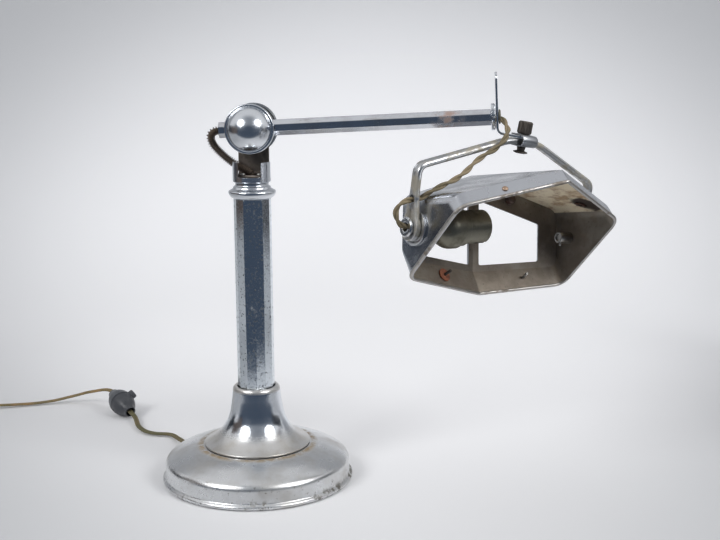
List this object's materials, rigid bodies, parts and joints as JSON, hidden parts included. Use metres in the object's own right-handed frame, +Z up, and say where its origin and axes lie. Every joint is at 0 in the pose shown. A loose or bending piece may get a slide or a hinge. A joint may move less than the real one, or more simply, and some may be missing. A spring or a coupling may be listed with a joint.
{
  "type": "desk lamp",
  "caption": "Articulated desk lamp: weighted round base, faceted column, ball joint, sliding arm, hanger clamp, bent yoke and a folded six-cornered open shade with a bayonet lampholder.",
  "frame": {"origin": "centre of the base's underside, on the table", "axes": "+Z up the column; the arm reaches out along +X, turned 3.9 degrees towards -Y; -Y is the front, the side of the polished ball cap"},
  "size_m": [0.6138, 0.2921, 0.317],
  "materials": {
    "chrome": "worn polished chrome plate with fine pitting",
    "steel": "aged plain steel",
    "dark_steel": "dark browned steel",
    "cast_iron": "rough cast iron ballast",
    "aluminium": "satin sheet, dulled with age",
    "aged_brass": "dull olive-grey aged brass",
    "textile_cord": "braided cotton-covered twin cord",
    "bakelite": "dark moulded resin",
    "porcelain": "unglazed off-white ceramic",
    "felt": "dark green felt face",
    "fibre": "red vulcanised fibre"
  },
  "bodies": {
    "stand": {"base_shell": "chrome", "base_weight": "cast_iron", "base_cover": "felt", "base_bell": "chrome", "column_tube": "chrome", "draw_tube": "steel", "draw_nut": "steel", "column_collar": "chrome", "feeder_cable": "textile_cord", "supply_cable": "textile_cord", "switch_lower": "bakelite", "switch_upper": "bakelite", "switch_contacts": "aged_brass", "plug_body": "bakelite", "plug_pin_live": "aged_brass", "plug_pin_neutral": "aged_brass"},
    "switch_push": {"switch_bar": "bakelite"},
    "head": {"head_crown": "chrome", "head_plate": "dark_steel", "plate_rivet_left": "steel", "plate_rivet_right": "steel", "rear_dome": "chrome", "spring_cord": "textile_cord", "spring_sleeve": "steel"},
    "guide": {"guide_block": "steel", "front_dome": "chrome", "pivot_screw": "steel", "pivot_nut": "steel", "spring_washer": "steel"},
    "arm": {"arm_tube": "chrome", "tip_flange": "chrome", "tip_screw_low": "steel", "tip_screw_side": "steel", "tip_eyelet": "aged_brass", "arm_cord": "textile_cord"},
    "hanger": {"hanger_strap": "chrome"},
    "yoke": {"yoke_bar": "chrome", "clip": "aluminium", "clamp_screw": "dark_steel", "shade_cord": "textile_cord"},
    "clamp_nut": {"thumb_nut": "dark_steel"},
    "shade": {"shade_shell": "aluminium", "bezel_rivet": "aged_brass", "pane_screw_left": "steel", "pane_screw_right": "steel", "fibre_washer": "fibre", "frame_screw": "steel", "star_washer": "dark_steel", "pivot_nipple": "steel", "nipple_nut": "steel", "left_washer": "steel", "pivot_pin": "steel", "pivot_boss": "steel", "boss_screw": "steel", "lampholder_cap": "aged_brass", "lampholder_ring": "aged_brass", "lampholder_barrel": "aged_brass", "lampholder_insulator": "porcelain", "lampholder_contact_a": "aged_brass", "lampholder_contact_b": "aged_brass"}
  },
  "joints": [
    {"name": "head_swivel", "type": "hinge", "parent": "stand", "child": "head", "pos_m": [0, 0, 0.2308], "axis": [0, 0, 1], "range_deg": [-120, 120]},
    {"name": "arm_tilt", "type": "hinge", "parent": "head", "child": "guide", "pos_m": [0, 0, 0.2754], "axis": [-0.068, -0.9977, 0], "range_deg": [-30, 38], "deforming": ["spring_cord", "spring_sleeve"]},
    {"name": "arm_slide", "type": "slide", "parent": "guide", "child": "arm", "axis": [0.9966, -0.0679, 0.0471], "range_m": [-0.03, 0.004]},
    {"name": "strap_turn", "type": "hinge", "parent": "arm", "child": "hanger", "pos_m": [0.17938, -0.01223, 0.28388], "axis": [0.9966, -0.0679, 0.0471], "range_deg": [-90, 90]},
    {"name": "yoke_swivel", "type": "hinge", "parent": "hanger", "child": "yoke", "pos_m": [0.20301, -0.01384, 0.26572], "axis": [0.1732, -0.0118, 0.9848], "range_deg": [-45, 90], "deforming": ["shade_cord"]},
    {"name": "nut_spin", "type": "hinge", "parent": "yoke", "child": "clamp_nut", "pos_m": [0.20474, -0.01396, 0.27557], "axis": [0.1732, -0.0118, 0.9848], "continuous": true},
    {"name": "shade_tilt", "type": "hinge", "parent": "yoke", "child": "shade", "pos_m": [0.18496, -0.01675, 0.19728], "axis": [0.833, 0.5352, -0.1401], "range_deg": [-24, 100]},
    {"name": "switch_push_slide", "type": "slide", "parent": "stand", "child": "switch_push", "axis": [0.7375, 0.3791, 0.5589], "range_m": [-0.0036, 0]}
  ]
}
